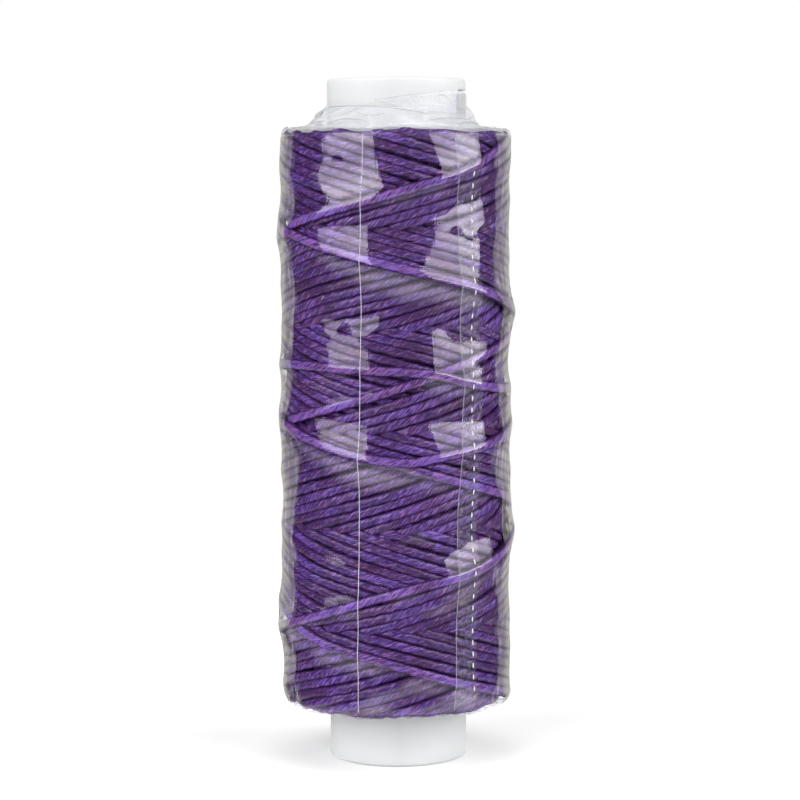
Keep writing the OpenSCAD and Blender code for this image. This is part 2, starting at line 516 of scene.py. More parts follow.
@dataclass(frozen=True)
class WaxedThread:
    """Three-ply thread with a coat of wax and fibre tone that differs at random; its furrows and ply
    grooves get painted shade, its plies and newest strands a painted highlight.
    """

    name: str = "waxed_thread"
    # Bright ends of the colour mix: random fibre tone, with a painted highlight on the ply crests and the
    # newest strands.
    crest: Colour = (0.34, 0.130, 0.46)
    crest_blue: Colour = (0.255, 0.115, 0.62)
    body: Colour = (0.058, 0.005, 0.082)
    body_blue: Colour = (0.043, 0.006, 0.145)
    # Painted shade: this colour is laid on the strands' flanks in the furrows between strands and in the
    # grooves between plies.
    furrow: Colour = (0.044, 0.001, 0.096)
    side_low: float = 0.36
    side_high: float = 0.80
    thread_painted_shade_share: float = 0.95
    newest_painted_highlight: float = 0.5
    by_ply: float = 0.2
    by_fibre: float = 4.7
    by_drift: float = 1.5
    by_patch: float = 0.9
    dullness: float = 3.52
    fibre_run: float = 0.36
    dye_run: float = 0.18
    drift_run: float = 0.11
    fibre_height: float = 0.00021
    fibre_scale: float = 4.2
    dye_scale: float = 1.4
    wax_scale: float = 420.0
    patch_scale: float = 160.0
    blue_from: tuple[float, float] = (0.38, 0.60)

    def material(self) -> bpy.types.Material:
        """Make the material.

        Returns:
            The finished material.
        """
        material, board = new_material(self.name)
        run, turn = board.mark("run"), board.mark("turn")
        ring = 2 * math.pi * turn
        around = {
            "X": board.add("Math", {"operation": "COSINE"}, {0: ring}),
            "Y": board.add("Math", {"operation": "SINE"}, {0: ring}),
        }
        on_fibre = board.add("CombineXYZ", {}, {**around, "Z": run * self.fibre_run})
        on_dye = board.add("CombineXYZ", {}, {**around, "Z": run * self.dye_run})
        fibre = board.noise(on_fibre, self.fibre_scale, 5.0)
        dyed = board.noise(on_dye, self.dye_scale, 3.0)
        drift = board.noise(board.add("CombineXYZ", {}, {"X": run * self.drift_run}), 1.0, 1.0)
        wax = board.noise(board.object_place((1.0, 1.0, 1.0)), self.wax_scale, 3.0)
        patch = board.noise(board.object_place((1.0, 1.0, 1.6)), self.patch_scale, 2.0)
        ply = board.mark("ply")
        # Painted highlight: the ply crests and the newest strands (mark last) are brightened, on top of
        # the random fibre, drift and patch tone.
        bright = ply * self.by_ply + fibre * self.by_fibre + drift * self.by_drift
        bright = bright + patch * self.by_patch + self.newest_painted_highlight * board.mark("last") - self.dullness
        blue = (dyed * 0.6 + drift * 0.4).between(*self.blue_from)
        # lit holds the random tone together with the painted highlight, before the painted shade is laid
        # over it.
        lit = board.mix(
            bright.between(0.0, 1.0),
            board.mix(blue, self.body, self.body_blue),
            board.mix(blue, self.crest, self.crest_blue),
        )
        # Painted shade: low flanks (side) and the grooves between plies are darkened towards the furrow
        # colour.
        ply_groove_painted_shade = 1 - ply.between(0.0, 0.45)
        deep = 1 - board.mark("side").between(self.side_low, self.side_high)
        furrow_painted_shade = (deep + ply_groove_painted_shade * 0.5 * (1.6 - 1.2 * fibre)) * self.thread_painted_shade_share
        colour = board.mix(furrow_painted_shade.between(0.0, 1.0), lit, self.furrow)
        inputs = {
            "Base Color": colour,
            "Roughness": 0.30 + 0.3 * wax + 0.12 * deep,
            "Coat Weight": 0.2 + 0.35 * wax,
            "Coat Roughness": 0.24,
            "Coat IOR": 1.7,
            "IOR": 1.46,
            "Normal": board.bump(fibre, self.fibre_height, 1.0),
        }
        board.finish(board.add("BsdfPrincipled", {}, inputs))
        return material


@dataclass(frozen=True)
class ClearFilm:
    """Clear shrink film: two faces that mirror at a glance, and a haze where it is creased. Over furrows
    its mirror and haze are cut back as painted shade, and grey haze at its outline is a painted
    reflection.
    """

    name: str = "clear_film"
    tint: Colour = (0.955, 0.955, 0.965)
    haze: Colour = (0.52, 0.50, 0.52)
    lilac: Colour = (0.98, 0.92, 1.0)
    head_on: float = 0.10
    falloff: float = 3.4
    roughness: float = 0.045
    edge_mirror: float = 0.15
    rim_mirror: float = 0.42
    # Painted reflection: grey haze laid where the film is seen edge-on, streaked near the outline and as
    # a band right on it.
    edge_painted_reflection: float = 0.45
    # Share of the mirror and haze taken away over furrows: painted shade.
    film_furrow_painted_shade: float = 0.62
    rim_painted_reflection: float = 0.6
    speck: float = 0.16
    drawn_scale: float = 2600.0
    grain_scale: float = 3800.0
    crinkle_height: float = 0.00002
    edge_from: tuple[float, float] = (0.49, 0.54)
    rim_from: tuple[float, float] = (0.64, 0.80)
    edge_reflection_from: tuple[float, float] = (0.49, 0.56)
    rim_reflection_from: tuple[float, float] = (0.84, 0.96)

    def material(self) -> bpy.types.Material:
        """Make the material.

        Returns:
            The finished material.
        """
        material, board = new_material(self.name)
        facing = board.add("LayerWeight", {}, {"Blend": 0.5}, "Facing")
        mirror = self.head_on + (1 - self.head_on) * facing**self.falloff
        mirror = mirror + self.edge_mirror * facing.between(*self.edge_from)
        mirror = mirror + self.rim_mirror * facing.between(*self.rim_from)
        # Painted shade: over furrows, and over the sleeve's lip and rounded ends, the mirror and the haze
        # are cut back.
        film_furrow_shade_kept = 1 - self.film_furrow_painted_shade * board.mark("furrow")
        drawn = board.noise(board.object_place((1.0, 1.0, 0.09)), self.drawn_scale, 3.0)
        grain = board.noise(board.object_place((1.0, 1.0, 0.6)), self.grain_scale, 3.0)
        crinkle = drawn * 0.5 + grain * board.mark("crinkle")
        normal = board.bump(crinkle, self.crinkle_height, 1.0)
        clear = board.add("BsdfTransparent", {}, {"Color": (*self.tint, 1.0)})
        shine = {"Color": (*self.lilac, 1.0), "Roughness": self.roughness, "Normal": normal}
        gloss = board.add("BsdfAnisotropic", {}, shine)
        sheet = board.add("MixShader", {}, {0: mirror * film_furrow_shade_kept, 1: clear, 2: gloss})
        milky = board.add("BsdfDiffuse", {}, {"Color": (*self.haze, 1.0)})
        # Painted reflection: milky haze at the silhouettes, streaked by the drawn lines, and a band right
        # at the outline, stand in for the grey the film mirrors edge-on.
        edge = facing.between(*self.edge_reflection_from) * drawn.between(0.50, 0.70) * self.edge_painted_reflection
        speck = grain.between(0.4, 0.8) * board.mark("crinkle") * self.speck
        rim_painted_reflection = facing.between(*self.rim_reflection_from) * self.rim_painted_reflection
        cloud = board.mark("haze") + edge + speck + rim_painted_reflection
        board.finish(board.add("MixShader", {}, {0: cloud * film_furrow_shade_kept, 1: sheet, 2: milky}))
        return material


# ---------------------------------------------------------------- the thread


class Stroke(Enum):
    """Which way a stroke of the winding runs along the spool."""

    RISING = 1
    FALLING = -1


@dataclass
class Strand:
    """A run of thread: turning angle in degrees, height, pair, lift, and drop over an end's corner."""

    angle: Array
    height: Array
    pair: Array
    lift: Array
    drop: Array

    def part(self, start: int, stop: int) -> "Strand":
        """Cut out a stretch by sample numbers."""
        return Strand(*(getattr(self, item.name)[start:stop] for item in fields(self)))


@dataclass
class CrossWinding:
    """The law by which a machine crosses the thread to and fro.

    A stroke up and a stroke down are a pair. Each pair starts a little further back than the
    one before, so that its turns lie against that pair's turns.
    """

    lowest: float
    highest: float
    shift: float = 18.0
    whole_turns: int = 6
    last_rise: float = -245.0
    tip_half_low: float = 25.0
    tip_half_high: float = 14.0
    past_low: float = 1.53
    past_high: float = 0.56
    pairs: int = 42
    step: float = 0.5
    seed: int = 5
    wander: float = 0.09
    wander_angle: float = 36.0
    memory: float = 0.75
    closest: float = 0.11
    quiet_angle: float = 60.0
    tip_wander: float = 0.12
    rise_drift: Knots = (
        (-245, 0), (-61, -0.5), (0, 0.1), (49, -0.6), (120, -0.2), (294, 0.4),
        (440, 0.35), (560, 0), (668, -0.4), (743, -0.5), (785, 0.3), (826, 0),
    )
    fall_drift: Knots = ((825, 0), (1012, 0.25), (1145, 0.6), (1372, 0.8), (1440, 1.1))
    tail: Knots = (
        (1372, 34.5), (1400, 33.0), (1430, 31.6), (1445, 31.3), (1462, 31.8), (1489, 32.6),
        (1516, 33.7), (1620, 37.3), (1700, 40.0), (1740, 40.6), (1800, 40.2), (1818, 39.9),
        (1838, 38.9), (1865, 38.1), (1900, 37.6), (1925, 37.2),
    )
    tail_blend: float = 40.0
    tip_clear: float = 85.0

    @property
    def stroke(self) -> float:
        """Turning angle of one stroke."""
        return 180 * self.whole_turns - self.shift / 2

    @property
    def rate(self) -> float:
        """Height gained for each degree between the rounded tips."""
        return (self.highest + self.past_high - self.lowest + self.past_low) / self.stroke

    def plain_height(self, since: Array, way: Stroke) -> Array:
        """Height along a stroke whose tips are rounded.

        Args:
            since: Degrees since the stroke's start.
            way: Direction of the stroke.

        Returns:
            Heights.
        """
        up = since if way is Stroke.RISING else self.stroke - since
        from_low = self.rounded(up, self.tip_half_low)
        from_high = self.rounded(self.stroke - up, self.tip_half_high)
        low, high = self.lowest - self.past_low, self.highest + self.past_high
        return np.where(up < self.stroke / 2, low + from_low, high - from_high)

    def rounded(self, near: Array, half: float) -> Array:
        """Distance gained from a tip that is rounded over within half degrees of it."""
        curve = self.rate * (near**2 / half + half) / 2
        return np.where(near < half, curve, self.rate * near)

    def stroke_samples(self, start: float, stop: float) -> Array:
        """Turning angles of a stroke, on one grid that all strokes share."""
        first = math.ceil(start / self.step)
        return np.arange(first, math.ceil(stop / self.step)) * self.step

    def wind(self) -> Strand:
        """Lay out the whole thread, oldest stroke first.

        Returns:
            The thread, without its lift.
        """
        rng = np.random.default_rng(self.seed)
        grid = np.arange(0.0, self.stroke + self.step, self.step)
        strays = {way: np.zeros(len(grid)) for way in Stroke}
        angles, heights, pairs = [], [], []
        tip = 0.0
        for pair in range(self.pairs - 1, -1, -1):
            start = self.last_rise - 2 * self.stroke * pair
            for way in Stroke:
                beside = np.interp(grid - self.shift, grid, strays[way])
                stray = self.memory * beside
                stray = stray + self.wander * wandering(rng, len(grid), self.wander_angle / self.step)
                sign = way.value
                strays[way] = sign * np.maximum(sign * stray, sign * beside - self.closest)
                angle = self.stroke_samples(start, start + self.stroke)
                since = angle - start
                quiet = np.clip(np.minimum(since, self.stroke - since) / self.quiet_angle, 0, 1)
                height = self.plain_height(since, way) + quiet * np.interp(since, grid, strays[way])
                before, tip = tip, self.tip_wander * rng.uniform(-1, 1)
                height = height + (1 - quiet) * np.where(since < self.stroke / 2, before, tip)
                if pair == 0:
                    angle, height = self.last_stroke(angle, height, way)
                angles.append(angle)
                heights.append(height)
                pairs.append(np.full(len(angle), pair))
                start += self.stroke
        whole = [np.concatenate(part) for part in (angles, heights, pairs)]
        return Strand(*whole, np.zeros(len(whole[0])), np.zeros(len(whole[0])))

    def last_stroke(self, angle: Array, height: Array, way: Stroke) -> tuple[Array, Array]:
        """Let the last pair drift off its law, and end it in the tail that turns back up.

        Args:
            angle: Turning angles of the stroke.
            height: Heights by the law.
            way: Direction of the stroke.

        Returns:
            Turning angles and heights.
        """
        if way is Stroke.RISING:
            return angle, height + through_knots(angle, self.rise_drift)
        start, stop = self.tail[0][0], self.tail[-1][0]
        longer = self.stroke_samples(angle[0], stop)
        falling = np.interp(longer, angle, height + through_knots(angle, self.fall_drift))
        into = smooth_step((longer - start + self.tail_blend) / self.tail_blend)
        return longer, falling + (through_knots(longer, self.tail) - falling) * into

    @property
    def tips(self) -> Array:
        """Turning angles of all reversals."""
        return self.last_rise + self.stroke * np.arange(2 - 2 * self.pairs, 2)

    def stretches(self, thread: Strand) -> list[Strand]:
        """Cut the thread where no stretch crosses itself: round the tips and between them.

        Args:
            thread: The whole thread.

        Returns:
            The stretches, oldest first.
        """
        cuts = np.sort(np.concatenate([self.tips - self.tip_clear, self.tips + self.tip_clear]))
        marks = np.searchsorted(thread.angle, cuts)
        edges = np.unique(np.concatenate([[0], marks, [len(thread.angle)]]))
        return [thread.part(a, b) for a, b in zip(edges[:-1], edges[1:]) if b - a > 1]


@dataclass
class Relief:
    """The wound surface so far, as lifts over the core on a grid of height and turning angle."""

    low: float
    high: float
    mean_radius: float
    half_wide: float
    half_thick: float
    cell: float = 0.05
    columns: int = 720
    contact: float = 0.8
    bend: float = 3.0
    span: float = 2.4
    sink: float = 0.15
    soft: float = 0.5
    press: float = 0.5
    press_span: float = 12.0
    tucked: float = 0.3
    lift: Array = field(init=False)

    def __post_init__(self) -> None:
        """Start with the bare core."""
        self.lift = np.zeros((int(round((self.high - self.low) / self.cell)) + 1, self.columns))

    @property
    def column_width(self) -> float:
        """Distance between columns on the package."""
        return 2 * math.pi * self.mean_radius / self.columns

    def lay(self, strand: Strand, lead: Array, pressed: bool) -> Array:
        """Lay a stretch of thread on the relief.

        Args:
            strand: The stretch.
            lead: Lifts of the thread just before it.
            pressed: Whether later layers press it into the high places.

        Returns:
            Lifts of the stretch's centre line.
        """
        step = self.column_width
        lean = np.cos(np.arctan(np.gradient(strand.height) / step))
        column = np.round(strand.angle * self.columns / 360).astype(int) % self.columns
        reach = int(math.ceil(self.half_wide / self.cell)) + 1
        middle = np.round((strand.height - self.low) / self.cell).astype(int)
        row = middle[:, None] + np.arange(-reach, reach + 1)
        across = (row * self.cell + self.low - strand.height[:, None]) * lean[:, None]
        across = across / self.half_wide
        bulge = self.half_thick * np.sqrt(np.clip(1 - across**2, 0, 1))
        row = np.clip(row, 0, len(self.lift) - 1)
        column = np.broadcast_to(column[:, None], row.shape)
        under = np.where(abs(across) <= self.contact, self.lift[row, column] + bulge, 0).max(1)
        lead = lead[-int(self.press_span / step):]
        rest = np.concatenate([lead + self.sink, under])
        rest = tight_skin(rest, (step,), self.bend, self.span, (False,))
        rest = blurred(rest, self.soft / step, 0, False) - self.sink
        if pressed:
            width = int(self.press_span / step)
            mean = np.convolve(np.pad(rest, width, mode="reflect"), np.ones(2 * width + 1), "valid")
            mean /= 2 * width + 1
            rest = mean + self.press * (rest - mean)
        rest = rest[len(lead):]
        top = rest[:, None] + bulge
        shows = (abs(across) < 1) & (top > self.lift[row, column]) & (strand.drop[:, None] < self.tucked)
        self.lift[row[shows], column[shows]] = top[shows]
        return rest

    def sample(self, grid: Array, angle: Array, height: Array) -> Array:
        """Read a grid of this relief's shape between its cells.

        Args:
            grid: Values on the relief's cells.
            angle: Turning angles in degrees.
            height: Heights.

        Returns:
            The values there.
        """
        x = np.asarray(angle) * self.columns / 360
        y = np.clip((np.asarray(height) - self.low) / self.cell, 0, len(grid) - 1.001)
        left, below = np.floor(x).astype(int), np.floor(y).astype(int)
        u, v = x - left, y - below
        a, b = left % self.columns, (left + 1) % self.columns
        lower = grid[below, a] * (1 - u) + grid[below, b] * u
        upper = grid[below + 1, a] * (1 - u) + grid[below + 1, b] * u
        return lower * (1 - v) + upper * v


@dataclass
class ThreadPackage:
    """The cross-wound package: plied strands outside, and a plain body under them."""

    core_radius: float
    outer_radius: float
    lowest: float
    highest: float
    thread: float = 1.0
    flat: float = 0.80
    width: float = 1.05
    squareness: float = 2.4
    shown_pairs: int = 20
    pairs_in_piece: int = 5
    tip_angle: float = 34.0
    ring_gap: float = 0.36
    sides: int = 12
    lay_length: float = 4.9
    ply_offset: float = 0.16
    corner: float = 0.5
    end_wander: float = 0.2
    lean: float = 0.15
    settle: float = 0.18
    settle_span: float = 2.5
    crest_span: float = 0.7
    crest_share: float = 82.0
    crest_press: float = 0.8
    shoulder_drop: float = 0.10
    shoulder_span: float = 1.5
    foot_drop: float = 0.08
    foot_span: float = 1.2
    skin_bend: float = 11.6
    skin_span: float = 6.0
    skin_blur: float = 2.5
    furrow_depth: float = 0.3
    furrow_blur: float = 0.06
    end_margin: float = 1.3
    # Turning angle past which strands count as newest and get the thread's painted highlight.
    last_from: float = -702.0
    body_step: float = 0.5
    body_columns: int = 240
    body_inset: float = 0.15
    body_under: float = 0.12
    winding: CrossWinding = field(init=False)
    relief: Relief = field(init=False)
    strand: Strand = field(init=False)
    skin: Array = field(init=False)
    furrow: Array = field(init=False)
    inner: Array = field(init=False)
    base: float = field(init=False)

    def build(self, finish: bpy.types.Material) -> list[bpy.types.Object]:
        """Wind the thread and make its pieces.

        Args:
            finish: Material of the thread.

        Returns:
            The pieces.
        """
        self.simulate()
        pieces = [self.body_piece()] + self.outer_pieces() + [self.end_piece()]
        for piece in pieces:
            piece.data.materials.append(finish)
        return pieces

    def simulate(self) -> None:
        """Lay every stretch of thread, then let the package and its skin settle."""
        self.winding = CrossWinding(self.lowest, self.highest)
        self.relief = relief = Relief(
            low=self.lowest - self.thread,
            high=self.highest + self.thread,
            mean_radius=(self.core_radius + 3 * self.outer_radius) / 4,
            half_wide=self.thread / 2,
            half_thick=self.thread / 2 * self.flat,
        )
        self.strand = thread = self.folded(self.winding.wind())
        lifts: list[Array] = [np.zeros(0)]
        inner = relief.lift
        for stretch in self.winding.stretches(thread):
            if stretch.pair[0] >= self.shown_pairs:
                inner = relief.lift.copy()
            lifts.append(relief.lay(stretch, lifts[-1], stretch.pair[0] > 0))
        thread.lift = np.concatenate(lifts)
        swell = self.swell()
        swell = swell + self.crests(relief.lift - swell)
        skin = self.skin_over(relief.lift - swell)
        turn = 2 * math.pi * np.arange(relief.columns) / relief.columns
        trim = self.level(skin) + self.shoulders() + self.lean * np.sin(turn)
        self.skin = skin - trim
        swell = swell + trim
        settled = relief.lift - swell
        thread.lift = thread.lift - relief.sample(swell, thread.angle, thread.height)
        beside = stretched(settled, relief.cell, math.inf, self.thread / 2, 0, False)
        furrow = np.clip((beside - settled) / self.furrow_depth, 0, 1)
        self.furrow = blurred(furrow, self.furrow_blur / relief.cell, 0, False)
        self.inner = np.minimum(inner - swell, settled)
        ends = (self.lowest + self.thread, self.highest - self.thread)
        low, high = (int((end - relief.low) / relief.cell) for end in ends)
        shown = self.skin[low:high]
        self.base = self.outer_radius - np.median(shown)
        log.info("wound %d pairs, base radius %.2f mm", self.winding.pairs, self.base)
        log.info("skin from %.2f to %.2f mm", self.base + shown.min(), self.base + shown.max())

    def folded(self, thread: Strand) -> Strand:
        """Turn what runs past the package's ends over their corners and under.

        Args:
            thread: The thread, whose heights may lie past the ends.

        Returns:
            The same thread with heights inside the ends, and with its drop towards the axis.
        """
        quarter = math.pi / 4
        wave = self.end_wave(np.radians(thread.angle))
        for end, inside in ((self.lowest + wave, 1), (self.highest + wave, -1)):
            along = inside * (thread.height - end) - self.corner * (1 - quarter)
            turned = np.clip(quarter - along / self.corner, 0, 2 * quarter)
            under = np.maximum(-along - self.corner * quarter, 0)
            bent = end + inside * self.corner * (1 - np.sin(turned))
            thread.height = np.where(turned > 0, bent, thread.height)
            thread.drop = thread.drop + self.corner * (1 - np.cos(turned)) + under
        return thread

    def end_wave(self, turn: Array) -> Array:
        """How far the package's ends wander from flat, for turning angles in radians."""
        lobes = ((3, 1.0, 0.4), (7, 0.0, 0.35), (12, 2.0, 0.25))
        return self.end_wander * sum(size * np.sin(count * turn + start) for count, start, size in lobes)

    @property
    def margin(self) -> int:
        """Rows of the relief at each end that its means leave out."""
        return int(self.end_margin * self.thread / self.relief.cell)

    def to_ends(self, rows: Array) -> Array:
        """Carry the first and last row on over the margins."""
        return np.pad(rows, ((self.margin, self.margin), (0, 0)), mode="edge")

    def swell(self) -> Array:
        """The broad highs and lows that the film's squeeze evens out.

        Returns:
            What comes off at each cell: all of the rise and fall along the spool, and most of
            the lumps round it.
        """
        broad = self.relief.lift[self.margin:-self.margin]
        broad = blurred(broad, self.settle_span / self.relief.column_width, 1, True)
        broad = blurred(broad, self.settle_span / self.relief.cell, 0, False)
        level = broad.mean(axis=1, keepdims=True)
        return self.to_ends(level - level.mean() + (1 - self.settle) * (broad - level))

    def level(self, skin: Array) -> Array:
        """How far the skin's mean radius at each height is from its middle value.

        Args:
            skin: The skin over the package.

        Returns:
            One number for each row, as a column.
        """
        mean = skin[self.margin:-self.margin].mean(axis=1, keepdims=True)
        mean = blurred(mean, self.settle_span / 2 / self.relief.cell, 0, False)
        return self.to_ends(mean - np.median(mean))

    def shoulders(self) -> Array:
        """How far the package's ends are pressed in by the shrunk film.

        Returns:
            One number for each row, as a column.
        """
        height = self.relief.low + np.arange(len(self.relief.lift))[:, None] * self.relief.cell
        top = self.shoulder_drop * np.exp(-(self.highest - height) / self.shoulder_span)
        foot = self.foot_drop * np.exp(-(height - self.lowest) / self.foot_span)
        return np.minimum(top, self.shoulder_drop) + np.minimum(foot, self.foot_drop)

    def crests(self, settled: Array) -> Array:
        """How far the highest crossings are pressed in by the skin.

        Args:
            settled: The wound surface without its swell.

        Returns:
            What comes off at each cell.
        """
        crest = blurred(settled, self.crest_span / self.relief.cell, 0, False)
        crest = blurred(crest, self.crest_span / self.relief.column_width, 1, True)
        over = np.maximum(crest - np.percentile(crest, self.crest_share), 0)
        return over * self.crest_press

    def skin_over(self, settled: Array) -> Array:
        """Stretch a tight skin over the settled package, on every other row of its grid.

        Args:
            settled: The settled surface.

        Returns:
            Heights of the skin on all rows.
        """
        steps = (2 * self.relief.cell, self.relief.column_width)
        skin = tight_skin(settled[::2], steps, self.skin_bend, self.skin_span, (False, True))
        skin = blurred(blurred(skin, self.skin_blur, 0, False), self.skin_blur, 1, True)
        rows = np.arange(len(settled)) / 2
        low = np.minimum(rows.astype(int), len(skin) - 1)
        high = np.minimum(low + 1, len(skin) - 1)
        part = (rows - low)[:, None]
        return skin[low] * (1 - part) + skin[high] * part

    def skin_radius(self, angle: Array, height: Array) -> Array:
        """Radius of the film over the package.

        Args:
            angle: Turning angles in degrees.
            height: Heights.

        Returns:
            Radii.
        """
        return self.base + self.relief.sample(self.skin, angle, height)

    def furrow_under(self, angle: Array, height: Array) -> Array:
        """How deep the film's place is in a furrow between strands, from 0 to 1."""
        return self.relief.sample(self.furrow, angle, height)

    def strand_piece(self, name: str, runs: Iterable[Strand]) -> bpy.types.Object:
        """Make plied tubes along some runs of the thread.

        Args:
            name: Name of the piece.
            runs: The runs.

        Returns:
            The piece, with the marks that its finish reads.
        """
        points: list[Array] = []
        faces: list[Array] = []
        marks: dict[str, list[Array]] = {}
        count = 0
        for run in runs:
            block, block_marks = self.tube(run)
            rings = len(block)
            last = count + (rings - 1) * self.sides
            points.append(block.reshape(-1, 3))
            faces.append(grid_faces(rings, self.sides, True) + count)
            faces.append(np.arange(count + self.sides - 1, count - 1, -1)[None])
            faces.append(np.arange(last, last + self.sides)[None])
            for key, values in block_marks.items():
                marks.setdefault(key, []).append(values.ravel())
            count += rings * self.sides
        joined = {key: np.concatenate(values) for key, values in marks.items()}
        return make_piece(name, np.concatenate(points), faces, joined)

    def tube(self, run: Strand) -> tuple[Array, dict[str, Array]]:
        """Sweep the three-ply section along a run.

        Args:
            run: The run.

        Returns:
            Rings of points, and the marks at each.
        """
        line = on_spool(np.radians(run.angle), self.base + run.lift - run.drop, run.height)
        length = np.concatenate([[0], np.cumsum(np.linalg.norm(np.diff(line, axis=0), axis=1))])
        rings = max(2, int(length[-1] / self.ring_gap))
        at = np.linspace(0, length[-1], rings)
        centre = np.stack([np.interp(at, length, line[:, k]) for k in range(3)], -1)
        angle = np.interp(at, length, run.angle)
        forward = unit(np.gradient(centre, axis=0))
        outward = on_spool(np.radians(angle), 1.0, 0.0)
        upward = unit(np.cross(outward, forward))
        upward = np.where(upward[:, 2:] < 0, -upward, upward)
        outward = unit(np.cross(forward, upward))
        outward = outward * np.sign((outward * centre).sum(1, keepdims=True))
        run_length = at + run.angle[0] * math.pi / 180 * self.outer_radius
        corner = np.arange(self.sides) / self.sides
        twist = 2 * math.pi * (run_length[:, None] / self.lay_length + corner)
        lobe = self.lobe(corner)
        square = (abs(np.cos(twist)) ** self.squareness + abs(np.sin(twist)) ** self.squareness)
        radius = self.thread / 2 * lobe * square ** (-1 / self.squareness)
        high = self.flat * radius * np.cos(twist)
        wide = self.width * radius * np.sin(twist)
        points = centre[:, None] + high[..., None] * outward[:, None] + wide[..., None] * upward[:, None]
        # Marks for the finish: last picks the newest strands for the painted highlight; side and ply
        # place the painted shade.
        marks = {
            "run": run_length[:, None],
            "turn": corner,
            "ply": (lobe - lobe.min()) / (lobe.max() - lobe.min()),
            "side": np.cos(twist),
            "last": angle[:, None] > self.last_from,
        }
        return points, {key: np.broadcast_to(value, twist.shape) for key, value in marks.items()}

    def lobe(self, corner: Array) -> Array:
        """Outline of three plies that press together, as a share of the thread's radius.

        Args:
            corner: Places round the section, from 0 to 1.

        Returns:
            Radii from 0 to 1.
        """
        off = self.ply_offset
        beside = 2 * math.pi * ((corner * 3 + 0.5) % 1 - 0.5) / 3
        return off * np.cos(beside) + np.sqrt((1 - off) ** 2 - (off * np.sin(beside)) ** 2)

    def outer_pieces(self) -> list[bpy.types.Object]:
        """Make the strands of the outer cycle, some pairs to a piece.

        Returns:
            The pieces, oldest first.
        """
        pieces = []
        for first in range(self.shown_pairs - self.pairs_in_piece, -1, -self.pairs_in_piece):
            chosen = (self.strand.pair >= first) & (self.strand.pair < first + self.pairs_in_piece)
            where = np.flatnonzero(chosen)
            run = self.strand.part(where[0], where[-1] + 2)
            piece = self.strand_piece(f"thread_winding_{len(pieces) + 1}", [run])
            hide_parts("thread_outer_turns")
            pieces.append(piece)
        return pieces

    def end_piece(self) -> bpy.types.Object:
        """Make the tips of the layers under the outer cycle, which show at both ends.

        Returns:
            The piece.
        """
        tips = self.winding.tips
        limit = self.strand.angle[self.strand.pair < self.shown_pairs][0]
        runs = []
        for tip in tips[tips < limit - self.tip_angle]:
            start, stop = np.searchsorted(self.strand.angle, [tip - self.tip_angle, tip + self.tip_angle])
            if stop - start > 4:
                runs.append(self.strand.part(start, stop))
        piece = self.strand_piece("thread_end_turns", runs)
        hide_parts("thread_inner_layers")
        return piece

    def body_piece(self) -> bpy.types.Object:
        """Make a closed body of the inner layers, just under the strands that show.

        Returns:
            The piece.
        """
        inset = self.body_inset * self.thread
        low, high = self.lowest + inset, self.highest - inset
        height = np.linspace(low, high, int((high - low) / self.body_step))
        angle = np.arange(self.body_columns) * 360 / self.body_columns
        angle, height = np.meshgrid(angle, height)
        radius = self.base + self.relief.sample(self.inner, angle, height) - self.body_under
        outside = on_spool(np.radians(angle), radius, height)
        inside = on_spool(np.radians(angle[[-1, 0]]), self.core_radius, height[[-1, 0]])
        points = np.concatenate([outside, inside])
        faces = grid_faces(len(points), self.body_columns, True)
        closing = (grid_faces(2, self.body_columns, True) - self.body_columns) % (points.size // 3)
        marks = {"run": 0.0, "turn": 0.0, "ply": 0.0, "side": 0.5, "last": 0.0}
        piece = make_piece("thread_inner_body", points, [faces, closing], marks)
        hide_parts("thread_inner_layers")
        return piece


# ---------------------------------------------------------------- the film


